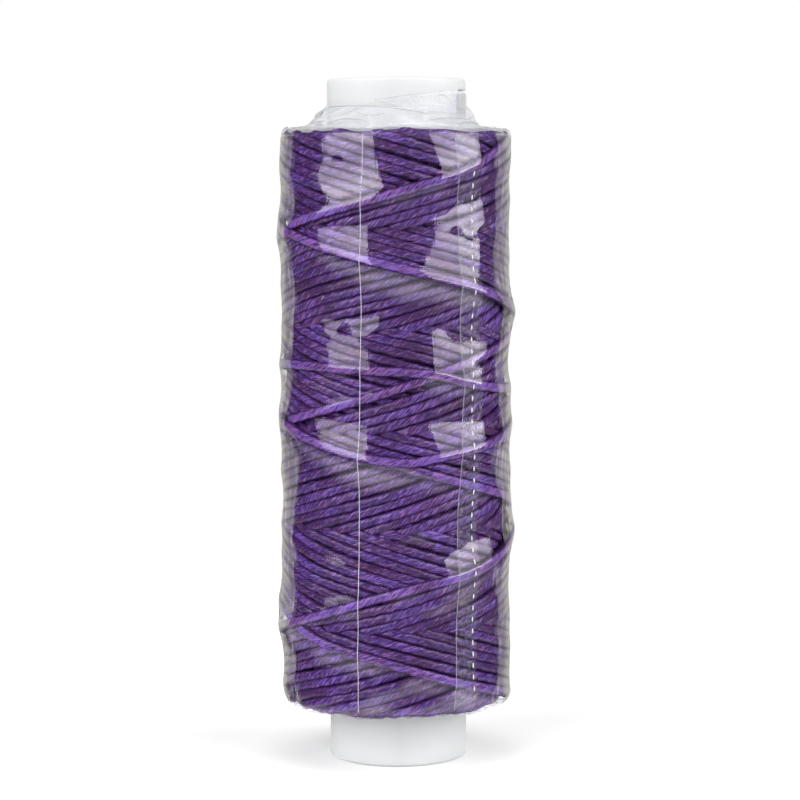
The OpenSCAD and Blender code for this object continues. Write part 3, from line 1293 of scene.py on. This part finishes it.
@dataclass
class ShrinkFilm:
    """The shrink film: sleeve over the package, lip under it and gathered neck on the tube."""

    package: ThreadPackage
    tube_radius: float
    bottom: float
    top: float
    lip_radius: float
    corner: float = 0.7
    gap: float = 0.04
    rows: int = 262
    columns: int = 350
    lip_rows: int = 6
    corner_rows: int = 7
    rim_wave: float = 0.10
    rim_lobes: tuple[int, int] = (41, 53)
    rim_haze: float = 0.10
    sleeve_crinkle: float = 0.12
    # Painted reflection: strength and reach of grey haze on the top corners seen edge-on at left and
    # right.
    shoulder_painted_reflection: tuple[float, float] = (3.0, 0.9)
    creases: tuple[tuple[Knots, float], ...] = (
        (((4.0, -20.0), (30.0, -18.6), (65.0, -16.4)), 1.0),
        (((4.0, 29.0), (16.0, 30.2), (25.0, 31.0), (31.0, 32.4), (37.5, 34.6), (42.0, 33.4),
          (55.0, 31.3), (65.0, 30.0)), 0.55),
    )
    crease_half: float = 0.17
    crease_lift: float = 0.05
    crease_rows: int = 420
    crease_haze: float = 0.6
    seam_width: float = 12.0
    seam_columns: int = 25
    seam_lift: float = 0.05
    seam_haze: float = 0.02
    tear_angle: float = 39.9
    tear_pitch: float = 1.16
    tear_length: float = 0.56
    tear_width: float = 0.16
    tear_margins: tuple[float, float] = (2.1, 4.0)
    tear_rings: tuple[tuple[float, float], ...] = ((1.0, 0.01), (0.6, 0.07))
    tear_corners: int = 10
    tear_haze: float = 0.85
    neck_profile: Knots = (
        (-0.4, 11.0), (-0.15, 10.85), (0.0, 10.5), (0.12, 9.5), (0.30, 8.8), (0.8, 8.35),
        (1.3, 8.0), (1.75, 7.6), (2.1, 7.24), (2.4, 7.13), (4.0, 7.12),
    )
    neck_lean: float = 0.3
    neck_tuck: float = 0.4
    neck_top: Knots = (
        (-180, 66.4), (-130, 66.2), (-90, 66.35), (-62, 66.2), (-27, 66.15), (0, 66.0), (30, 66.1),
        (50, 66.3), (56, 67.5), (66, 67.7), (80, 67.65), (92, 67.3), (120, 66.7), (180, 66.4),
    )
    flap_top: Knots = ((-17, 66.78), (-5, 66.98), (10, 67.22), (27, 67.5), (44, 67.66), (57, 67.6))
    flap_bottom: Knots = ((-17, 66.72), (-9, 66.5), (5, 66.0), (30, 65.6), (57, 65.4))
    wrinkles: tuple[tuple[Knots, float, float], ...] = (
        (((-84, 65.5), (-72, 66.0), (-60, 66.2), (-40, 66.2), (-16, 66.1), (8, 65.75), (24, 65.3)),
         0.05, 0.8),
        (((-17, 66.76), (-5, 66.96), (10, 67.20), (27, 67.46), (44, 67.62)), 0.04, 0.45),
        (((32, 66.75), (35, 67.15), (40, 67.25), (46, 66.9)), 0.06, 0.35),
        (((35, 66.6), (40, 66.4), (45, 66.65)), 0.05, 0.25),
        (((-82, 65.35), (-74, 65.55), (-65, 65.15)), 0.28, 1.9),
        (((-72, 64.45), (-64, 64.6), (-54, 64.4)), 0.12, 1.6),
        (((-78, 64.6), (-66, 64.75), (-50, 64.6)), 0.07, 1.0),
        (((-50, 64.5), (-36, 64.9), (-22, 64.8)), 0.05, 0.6),
        (((-40, 65.3), (-30, 65.9), (-26, 66.0)), 0.04, 0.5),
        (((-30, 65.6), (-18, 65.2), (-8, 65.4)), 0.04, 0.4),
        (((20, 64.7), (40, 65.0), (60, 64.9), (75, 65.3)), 0.05, 0.6),
        (((45, 64.4), (60, 64.6), (80, 64.5)), 0.08, 0.7),
    )
    wrinkle_lifts: tuple[float, float, float] = (0.09, 0.15, 0.09)
    wrinkle_rows: int = 60
    flap_lift: float = 0.06
    strip_aside: tuple[float, float] = (5.95, 6.95)
    strip_heights: tuple[float, float] = (65.0, 67.45)
    neck_rows: int = 60
    neck_columns: int = 900
    neck_clearance: float = 0.05
    neck_slack: Knots = (
        (-0.4, 0.01), (0.0, 0.06), (0.4, 0.13), (1.2, 0.16), (2.0, 0.05), (4.0, 0.02),
    )
    neck_wave_fades: float = 0.4
    neck_hastens: float = 1.4
    neck_haze: tuple[float, float, float] = (0.32, 0.12, 0.3)
    neck_crinkle: float = 0.15
    edge_wander: float = 11.0
    fold_climb: float = 0.4
    fold_shift: int = 7
    wrinkle_painted_shade: float = 0.75
    flap_haze: tuple[float, float] = (0.25, 0.2)
    flap_grid: tuple[int, int] = (12, 120)
    strip_haze: float = 0.07
    strip_grid: tuple[int, int] = (20, 24)
    folds: int = 40
    fold_lean: float = 40.0
    fold_halves: tuple[float, float] = (2.0, 12.0)
    fold_sizes: tuple[float, float] = (0.3, 1.0)
    fold_begins: tuple[float, float] = (-0.3, 0.6)
    fold_lasts: float = 0.75
    fold_eases: float = 0.2
    seed: int = 11

    @property
    def straight(self) -> tuple[float, float]:
        """Heights between which the sleeve lies on the package, without its rounded ends."""
        return self.bottom + self.corner, self.top - self.corner

    def build(
        self, double: bpy.types.Material, single: bpy.types.Material, loose: bpy.types.Material,
        folded: bpy.types.Material,
    ) -> list[bpy.types.Object]:
        """Make the film's pieces.

        Args:
            double: Finish of the sleeve, which is two layers that shrank together.
            single: Finish of the places with one layer.
            loose: Finish of the gathered neck.
            folded: Finish of the neck's sharp little folds, whose grey haze is painted shade.

        Returns:
            The pieces.
        """
        finishes = {
            double: [self.sleeve()],
            single: [self.overlap(), self.creases_piece(), self.tear_line()],
            loose: [self.neck(), self.neck_flap()],
            folded: [self.neck_wrinkles(), self.neck_strip()],
        }
        for finish, pieces in finishes.items():
            for piece in pieces:
                piece.data.materials.append(finish)
                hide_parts("shrink_film")
        return [piece for pieces in finishes.values() for piece in pieces]

    def on_skin(self, angle: Array, height: Array, lift: float) -> Array:
        """Points over the sleeve."""
        radius = self.package.skin_radius(angle, height) + self.gap + lift
        return on_spool(np.radians(angle), radius, height)

    def creases_piece(self) -> bpy.types.Object:
        """Make the two sharp lengthwise creases, as fine raised ridges of whitened film.

        Returns:
            The piece.
        """
        height = np.linspace(*self.straight, self.crease_rows)[:, None]
        side = self.crease_half * np.array([-1.0, 0.0, 1.0])
        lift = self.crease_lift * np.array([0.1, 1.0, 0.1])
        blocks = [
            self.on_skin(through_knots(height, knots) + side, height + 0 * side, lift)
            for knots, _ in self.creases
        ]
        haze = [self.crease_haze * strength for _, strength in self.creases]
        return make_ridges("film_creases", blocks, haze, 0.0)

    def overlap(self) -> bpy.types.Object:
        """Make the welded overlap beside the right crease: a second sheet, crinkled by heat.

        Returns:
            The piece.
        """
        height = np.linspace(*self.straight, self.rows)[:, None]
        angle = through_knots(height, self.creases[1][0])
        angle = angle + np.linspace(0, self.seam_width, self.seam_columns)
        height = height + 0 * angle
        points = self.on_skin(angle, height, self.seam_lift)
        furrow = self.package.furrow_under(angle, height)
        return make_sheet("film_overlap", points, False, haze=self.seam_haze, crinkle=1.0, furrow=furrow)

    def neck_radius(self, angle: Array, rise: Array) -> Array:
        """Radius of the neck without its folds, fuller on the left.

        Args:
            angle: Turning angles in degrees.
            rise: Heights over the top of the package.

        Returns:
            Radii.
        """
        lean = self.neck_lean * np.exp(-(((rise - 0.6) / 0.9) ** 2))
        radius = through_knots(rise, self.neck_profile) - lean * np.sin(np.radians(angle))
        return np.maximum(radius, self.tube_radius + self.neck_clearance)

    def gathers(self, rng: np.random.Generator, angle: Array, along: Array) -> Array:
        """Lay random folds over the neck, each leaning a little and fading out at its ends.

        Args:
            rng: Seeded source of random numbers.
            angle: Turning angles in degrees, as a row.
            along: Places from the neck's base to its edge, from 0 to 1, as a column.

        Returns:
            Height of the folds, 0 on average.
        """
        folds = np.zeros((along.size, angle.size))
        for _ in range(self.folds):
            at, lean = rng.uniform(-180, 180), rng.normal(0, self.fold_lean)
            half, size = rng.uniform(*self.fold_halves), rng.uniform(*self.fold_sizes)
            off = (angle - at - lean * along + 180) % 360 - 180
            begin = rng.uniform(*self.fold_begins)
            starts = smooth_step((along - begin) / self.fold_eases)
            lasts = starts * smooth_step((begin + self.fold_lasts - along) / self.fold_eases)
            folds += size * np.exp(-((abs(off) / half) ** 1.5)) * lasts
        return folds - folds.mean()

    def neck(self) -> bpy.types.Object:
        """Make the gathered neck: puffed out over the package, then clinging to the tube.

        Returns:
            The piece.
        """
        rng = np.random.default_rng(self.seed)
        angle = (np.arange(self.neck_columns) * 360 / self.neck_columns - 180)[None]
        along = np.linspace(0, 1, self.neck_rows)[:, None]
        folds = self.gathers(rng, angle, along)
        stray = wandering(rng, self.neck_columns, self.edge_wander)[None]
        top = through_knots(angle + stray, self.neck_top)
        rise = along**self.neck_hastens * (top - self.top + self.neck_tuck) - self.neck_tuck
        slack = through_knots(rise, self.neck_slack)
        radius = self.neck_radius(angle, rise) + slack * folds
        radius = np.maximum(radius, self.tube_radius + self.neck_clearance)
        wave = self.package.end_wave(np.radians(angle))
        wave = wave * np.exp(-np.maximum(rise, 0) / self.neck_wave_fades)
        climb = self.fold_climb * slack * np.roll(folds, self.fold_shift, axis=1)
        height = self.top + rise + wave + climb
        points = on_spool(np.radians(angle), radius, height)
        haze, share, most = self.neck_haze
        haze = haze + np.clip(folds * share, 0, most)
        return make_sheet("film_neck", points, True, haze=haze, crinkle=self.neck_crinkle)

    def neck_flap(self) -> bpy.types.Object:
        """Make the second layer on the tube, whose edge climbs to the right.

        Returns:
            The piece.
        """
        rows, columns = self.flap_grid
        share = np.linspace(0, 1, rows)[:, None]
        angle = np.linspace(self.flap_top[0][0], self.flap_top[-1][0], columns)[None]
        upper, lower = (through_knots(angle, knots) for knots in (self.flap_top, self.flap_bottom))
        height = lower + (upper - lower) * share
        radius = self.neck_radius(angle, height - self.top) + self.flap_lift
        points = on_spool(np.radians(angle), radius, height)
        haze = self.flap_haze[0] + self.flap_haze[1] * smooth_step((share - 0.8) / 0.2)
        return make_sheet("film_neck_flap", points, False, haze=haze, crinkle=self.neck_crinkle)

    def neck_strip(self) -> bpy.types.Object:
        """Make the welded overlap where it runs on up the tube, one more layer over the neck.

        Returns:
            The piece.
        """
        rows, columns = self.strip_grid
        aside = np.linspace(*self.strip_aside, columns)[None]
        height = np.linspace(*self.strip_heights, rows)[:, None]
        rise = height - self.top
        radius = self.neck_radius(60.0, rise) + 0.2 * np.exp(-rise) + 0.1
        points = on_spool(np.arcsin(np.minimum(aside / radius, 1.0)), radius, height)
        haze = self.strip_haze * smooth_step((height - self.strip_heights[0]) / 0.8)
        return make_sheet("film_neck_strip", points, False, haze=haze, crinkle=0.1)

    def neck_wrinkles(self) -> bpy.types.Object:
        """Make the sharp little folds in the neck, as narrow ridges.

        Returns:
            The piece.
        """
        taper = np.sin(np.linspace(0.05, math.pi - 0.05, self.wrinkle_rows))[:, None] ** 0.5
        blocks = []
        for knots, half, _ in self.wrinkles:
            angle = np.linspace(knots[0][0], knots[-1][0], self.wrinkle_rows)[:, None]
            height = through_knots(angle, knots) + half * taper * np.array([-1.0, 0.0, 1.0])
            radius = self.neck_radius(angle, height - self.top) + np.array(self.wrinkle_lifts)
            blocks.append(on_spool(np.radians(angle), radius, height))
        # Painted shade: the fold ridges are real shape, their grey haze stands in for the darker lines
        # where folds turn edge-on.
        haze = [self.wrinkle_painted_shade * strength for _, _, strength in self.wrinkles]
        return make_ridges("film_neck_wrinkles", blocks, haze, 0.5)

    def sleeve(self) -> bpy.types.Object:
        """Make the sleeve, its lip under the package and its rounded ends.

        Returns:
            The piece.
        """
        angle = np.arange(self.columns) * 360 / self.columns - 180
        turn = np.radians(angle)
        lumps = sum(np.sin(count * turn) for count in self.rim_lobes) / 2
        wave = self.package.end_wave(turn) + self.rim_wave * lumps
        low, high = self.straight
        foot, head = (self.package.skin_radius(angle, end) + self.gap for end in (low, high))
        lip = foot - self.corner - self.lip_radius
        rows: list[tuple[Array, Array]] = []
        for share in np.linspace(0, 1, self.lip_rows + 1)[:-1]:
            rows.append((self.lip_radius + lip * share, self.bottom + wave))
        arc = np.radians(np.linspace(90, 0, self.corner_rows + 1)[:-1])
        for a in arc:
            rows.append((foot - self.corner * (1 - np.cos(a)), low - (self.corner - wave) * np.sin(a)))
        for z in np.linspace(low, high, self.rows):
            rows.append((self.package.skin_radius(angle, z) + self.gap, np.full(len(angle), z)))
        for a in arc[::-1]:
            rows.append((head - self.corner * (1 - np.cos(a)), high + (self.corner + wave) * np.sin(a)))
        radius, height = (np.array(part) for part in zip(*rows))
        rim = np.exp(-np.maximum(self.top - height, 0) / 0.6)
        rim = rim * (1 + np.sin(7 * turn + 1) * np.sin(4 * turn)) / 2
        # Painted reflection: grey haze on the top corners at the left and right sides, where the film is
        # seen edge-on.
        side = smooth_step((abs(np.sin(turn)) - 0.84) / 0.12)
        strength, below = self.shoulder_painted_reflection
        haze = self.rim_haze * rim + strength * side * smooth_step((height - self.top + below) / 0.6)
        # The lip and the rounded ends count as deep furrow, so the film's painted furrow shade cuts its
        # mirror and haze there too.
        furrow = self.package.furrow_under(angle + 0 * height, height)
        furrow = np.where(height < low, 1.0, np.where(height > high, 1.5, furrow))
        points = on_spool(turn, radius, height)
        return make_sheet("film_sleeve", points, True, haze=haze, crinkle=self.sleeve_crinkle + rim,
                          furrow=furrow)

    def tear_line(self) -> bpy.types.Object:
        """Make the row of punched slots, each with its raised white burr.

        Returns:
            The piece.
        """
        low, high = self.bottom + self.tear_margins[0], self.top - self.tear_margins[1]
        corners = self.tear_corners
        turn = np.arange(corners) / corners * 2 * math.pi
        points, faces = [], []
        for i in range(int((high - low) / self.tear_pitch)):
            middle = low + (i + 0.5) * self.tear_pitch
            for share, lift in self.tear_rings:
                height = middle + share * self.tear_length / 2 * np.sin(turn)
                off = share * self.tear_width / 2 * np.cos(turn)
                base = self.package.skin_radius(np.full(corners, self.tear_angle), height) + self.gap
                angle = np.radians(self.tear_angle) + off / base
                points.append(on_spool(angle, base + lift, height))
            first = i * 2 * corners
            faces.append(grid_faces(2, corners, True) + first)
            faces.append(np.arange(first + corners, first + 2 * corners)[None])
        marks = {"haze": self.tear_haze, "crinkle": 0.0}
        return make_piece("film_tear_line", np.concatenate(points), faces, marks)


# ---------------------------------------------------------------- the tube


@dataclass
class CoreTube:
    """The plastic core tube, which keeps the mesh of its own model."""

    node: str = "core_tube"

    def dress(self, finish: bpy.types.Material) -> bpy.types.Object:
        """Give the tube its finish.

        Args:
            finish: Material of the tube.

        Returns:
            The tube.
        """
        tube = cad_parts[self.node]
        tube.data.materials.clear()
        tube.data.materials.append(finish)
        return tube


# ---------------------------------------------------------------- the studio


@dataclass
class Softbox:
    """A lamp with a rectangular front, placed by its direction from the spool."""

    name: str
    turn_low: float
    turn_high: float
    rise_low: float
    rise_high: float
    radiance: float
    mirrored_low: float = 1.9
    mirrored_high: float = 4.6
    mirrored_edge: float = 1.9
    brightens: tuple[float, float] = (0.045, 0.195)
    edge_fades: tuple[float, float] = (0.050, 0.085)
    distance: float = 0.65
    card_distance: float = 0.30
    aim_height: float = 0.035

    def build(self) -> None:
        """Hang the lamp and its card."""
        self.lamp()
        if self.mirrored_high > 0:
            self.card()

    def lamp(self) -> None:
        """Hang the lamp, which only lights."""
        turn = math.radians((self.turn_low + self.turn_high) / 2)
        rise = math.radians((self.rise_low + self.rise_high) / 2)
        width = 2 * self.distance * math.tan(math.radians(self.turn_high - self.turn_low) / 2)
        tall = 2 * self.distance * math.tan(math.radians(self.rise_high - self.rise_low) / 2)
        lamp = bpy.data.lights.new(self.name, "AREA")
        lamp.shape = "RECTANGLE"
        lamp.size, lamp.size_y = width, tall
        lamp.energy = self.radiance * math.pi * width * tall
        away = Vector((math.sin(turn) * math.cos(rise), -math.cos(turn) * math.cos(rise), math.sin(rise)))
        holder = bpy.data.objects.new(self.name, lamp)
        holder.location = Vector((0, 0, self.aim_height)) + away * self.distance
        holder.rotation_euler = away.to_track_quat("Z", "Y").to_euler()
        holder.visible_glossy = False
        bpy.context.scene.collection.objects.link(holder)

    def card(self) -> None:
        """Hang the lamp's front as glossy surfaces see it: brighter towards its middle."""
        turn = np.radians(np.linspace(self.turn_low, self.turn_high, 25))
        rise = np.radians([[self.rise_low], [self.rise_high]])
        level = (self.aim_height + self.card_distance * np.tan(rise)) / MM
        card = make_sheet(self.name + "_card", on_spool(turn, self.card_distance / MM, level), False)
        material, board = new_material(self.name + "_glow")
        height = board.add("SeparateXYZ", {}, {0: board.object_place((0.0, 0.0, 1.0))}, "Z")
        shades = [3 * (shown / self.mirrored_high,) for shown in (self.mirrored_edge, self.mirrored_low)]
        dim = board.mix(height.between(*self.edge_fades), *shades)
        colour = board.mix(height.between(*self.brightens), dim, (1.0, 1.0, 1.0))
        board.finish(board.add("Emission", {}, {"Color": colour, "Strength": self.mirrored_high}))
        card.data.materials.append(material)
        for rays in ("camera", "diffuse", "transmission", "shadow", "volume_scatter"):
            setattr(card, "visible_" + rays, False)


@dataclass
class Studio:
    """Camera, lamps, pale floor and white surround."""

    focal: float = 110.5
    sensor: float = 36.0
    stand_off: float = 0.250
    eye_height: float = 0.0585
    tilt: float = 5.03
    roll: float = 0.2
    shift_x: float = 0.0044
    floor_radius: float = 0.16
    floor_colour: Colour = (0.82, 0.82, 0.82)
    floor_sides: int = 96
    floor_rings: tuple[float, ...] = (0.02, 0.3, 0.6, 1.0)
    floor_fades: tuple[float, float] = (0.5, 0.95)
    floor_glow: float = 0.28
    # Painted shadow: share of the floor's glow left close to the foot, and the distances over which it
    # rises again.
    painted_foot_shadow: tuple[float, float, float] = (0.45, 0.007, 0.017)
    fill: float = 0.36
    dark_side: float = 0.005
    backdrop: float = 0.437
    backdrop_tint: Colour = (0.96, 1.0, 0.84)
    backdrop_edge: float = 0.55
    backdrop_soft: float = 0.03
    backdrop_foot: tuple[float, float] = (-0.30, -0.22)
    backdrop_head: tuple[float, float] = (0.45, 0.55)
    table_edge: float = -0.41
    table_soft: float = 0.14
    table_mirrored: float = 1.85
    table_near: float = 0.35
    table_nears: tuple[float, float] = (-0.85, -0.60)
    ceiling: float = 0.6
    ceiling_from: tuple[float, float] = (0.75, 0.95)
    softboxes: tuple[Softbox, ...] = (
        Softbox("softbox_left", turn_low=-74.0, turn_high=-22.0, rise_low=1.0, rise_high=50.0,
                radiance=4.1),
        Softbox("softbox_right", turn_low=38.0, turn_high=96.0, rise_low=0.0, rise_high=50.0,
                radiance=3.6, mirrored_low=2.1, mirrored_high=4.15, mirrored_edge=3.4,
                brightens=(0.10, 0.195)),
        Softbox("softbox_back", turn_low=140.0, turn_high=220.0, rise_low=10.0, rise_high=42.0,
                radiance=0.9, mirrored_high=0.0),
    )

    def build(self) -> None:
        """Set up everything round the spool."""
        self.camera()
        self.floor()
        self.world()
        for box in self.softboxes:
            box.build()
        bpy.context.scene.view_settings.view_transform = "Standard"

    def camera(self) -> None:
        """Put the camera in front of the spool."""
        data = bpy.data.cameras.new("camera")
        data.lens = self.focal
        data.sensor_width = self.sensor
        data.sensor_fit = "HORIZONTAL"
        data.shift_x = self.shift_x
        data.clip_start = 0.01
        data.dof.use_dof = False
        camera = bpy.data.objects.new("camera", data)
        camera.location = (0, -self.stand_off, self.eye_height)
        camera.rotation_euler = (math.radians(90 - self.tilt), math.radians(self.roll), 0)
        bpy.context.scene.collection.objects.link(camera)
        bpy.context.scene.camera = camera

    def floor(self) -> None:
        """Lay a pale round table top whose rim fades into the surround."""
        turn = np.linspace(0, 2 * math.pi, self.floor_sides + 1)[:-1]
        rings = [self.floor_radius / MM * share for share in self.floor_rings]
        points = np.concatenate([on_spool(turn, radius, -0.02) for radius in rings])
        faces = [grid_faces(len(rings), len(turn), True), np.arange(len(turn))[None]]
        floor = make_piece("floor", points, faces)
        material, board = new_material("floor_white")
        camera = board.add("LightPath", {}, {}, "Is Camera Ray")
        place = board.object_place((1.0, 1.0, 0.0))
        far = board.add("VectorMath", {"operation": "LENGTH"}, {0: place}, "Value")
        fade = far.between(*(share * self.floor_radius for share in self.floor_fades))
        matt = board.add("BsdfDiffuse", {}, {"Color": (*self.floor_colour, 1.0)})
        # Painted shadow: the camera glow drops to a share near the foot, so the floor is darker round it.
        near, begin, end = self.painted_foot_shadow
        colour = board.mix(far.between(begin, end), (near, near, near), (1.0, 1.0, 1.0))
        glow = board.add("Emission", {}, {"Color": colour, "Strength": camera * self.floor_glow})
        lit = board.add("AddShader", {}, {0: matt, 1: glow})
        clear = board.add("BsdfTransparent", {}, {})
        board.finish(board.add("MixShader", {}, {0: fade, 1: lit, 2: clear}))
        floor.data.materials.append(material)
        floor.visible_glossy = False

    def world(self) -> None:
        """White for the eye, a white wall behind for reflections and a plain fill for the rest."""
        world = bpy.data.worlds.new("surround")
        world.use_nodes = True
        bpy.context.scene.world = world
        board = Board(world.node_tree)
        direction = board.add("TexCoord", {}, {}, "Generated")
        y = board.add("SeparateXYZ", {}, {0: direction}, "Y")
        z = board.add("SeparateXYZ", {}, {0: direction}, "Z")
        wall = y.between(self.backdrop_edge - self.backdrop_soft, self.backdrop_edge + self.backdrop_soft)
        wall = wall * z.between(*self.backdrop_foot) * (1 - z.between(*self.backdrop_head))
        table = 1 - z.between(self.table_edge - self.table_soft, self.table_edge + self.table_soft)
        table = table * (self.table_near + (1 - self.table_near) * z.between(*self.table_nears))
        mirrored = self.dark_side + (self.backdrop - self.dark_side) * wall + self.table_mirrored * table
        mirrored = mirrored + self.ceiling * z.between(*self.ceiling_from)
        path = {name: board.add("LightPath", {}, {}, name) for name in
                ("Is Camera Ray", "Is Glossy Ray", "Is Transmission Ray")}
        seen = path["Is Camera Ray"] + path["Is Transmission Ray"]
        glossy = path["Is Glossy Ray"]
        rest = (1 - seen) * (1 - glossy)
        strength = seen + (1 - seen) * glossy * mirrored + rest * self.fill
        colour = board.mix(glossy * wall, (1.0, 1.0, 1.0), self.backdrop_tint)
        background = board.add("Background", {}, {"Color": colour, "Strength": strength})
        board.finish(background, "OutputWorld")


# ---------------------------------------------------------------- putting it together


@dataclass(frozen=True)
class Fit:
    """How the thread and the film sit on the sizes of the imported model."""

    tube_gap: float = 0.05
    film_inset: float = 0.07
    end_inset: float = 0.38
    film_rise: float = 0.04
    film_over: float = 0.26
    lip_width: float = 3.0


def main() -> None:
    """Build the spool from the core outwards and set up the studio."""
    logging.basicConfig(level=logging.INFO, format="%(name)s: %(message)s")
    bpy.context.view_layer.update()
    film_low, film_high = (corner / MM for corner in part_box("shrink_film"))
    package_low, package_high = (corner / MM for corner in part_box("thread_inner_layers"))
    tube_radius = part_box("core_tube")[1].x / MM
    fit = Fit()

    Studio().build()
    log.info("studio set up")

    tube = CoreTube().dress(TubePlastic().material())
    log.info("piece %s dressed", tube.name)

    package = ThreadPackage(
        core_radius=tube_radius + fit.tube_gap,
        outer_radius=film_high.x - fit.film_inset,
        lowest=package_low.z + fit.end_inset,
        highest=package_high.z - fit.end_inset,
    )
    thread = WaxedThread().material()
    for piece in package.build(thread):
        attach(piece, BODY)
        log.info("piece %s: %d faces", piece.name, len(piece.data.polygons))

    film = ShrinkFilm(
        package=package,
        tube_radius=tube_radius,
        bottom=film_low.z + fit.film_rise,
        top=package_high.z + fit.film_over,
        lip_radius=film_high.x - fit.lip_width,
    )
    double = ClearFilm()
    single = replace(
        double, name="clear_film_single", haze=(0.86, 0.85, 0.90), head_on=0.06, edge_mirror=0.0,
        rim_mirror=0.0, edge_painted_reflection=0.0,
    )
    loose = replace(
        single, name="clear_film_loose", tint=(0.985, 0.985, 0.995), haze=(0.90, 0.91, 0.95),
        lilac=(1.0, 1.0, 1.0), head_on=0.04, falloff=5.0, roughness=0.25, edge_painted_reflection=0.1, rim_painted_reflection=0.0,
    )
    # Grey haze for the neck's fold lines: painted shade where the folds turn edge-on.
    folded = replace(
        single, name="clear_film_folded", haze=(0.46, 0.46, 0.48), lilac=(1.0, 1.0, 1.0),
        head_on=0.05, roughness=0.2,
    )
    for piece in film.build(*(finish.material() for finish in (double, single, loose, folded))):
        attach(piece, BODY)
        log.info("piece %s: %d faces", piece.name, len(piece.data.polygons))

    bpy.context.view_layer.update()


if __name__ == "__main__":
    main()
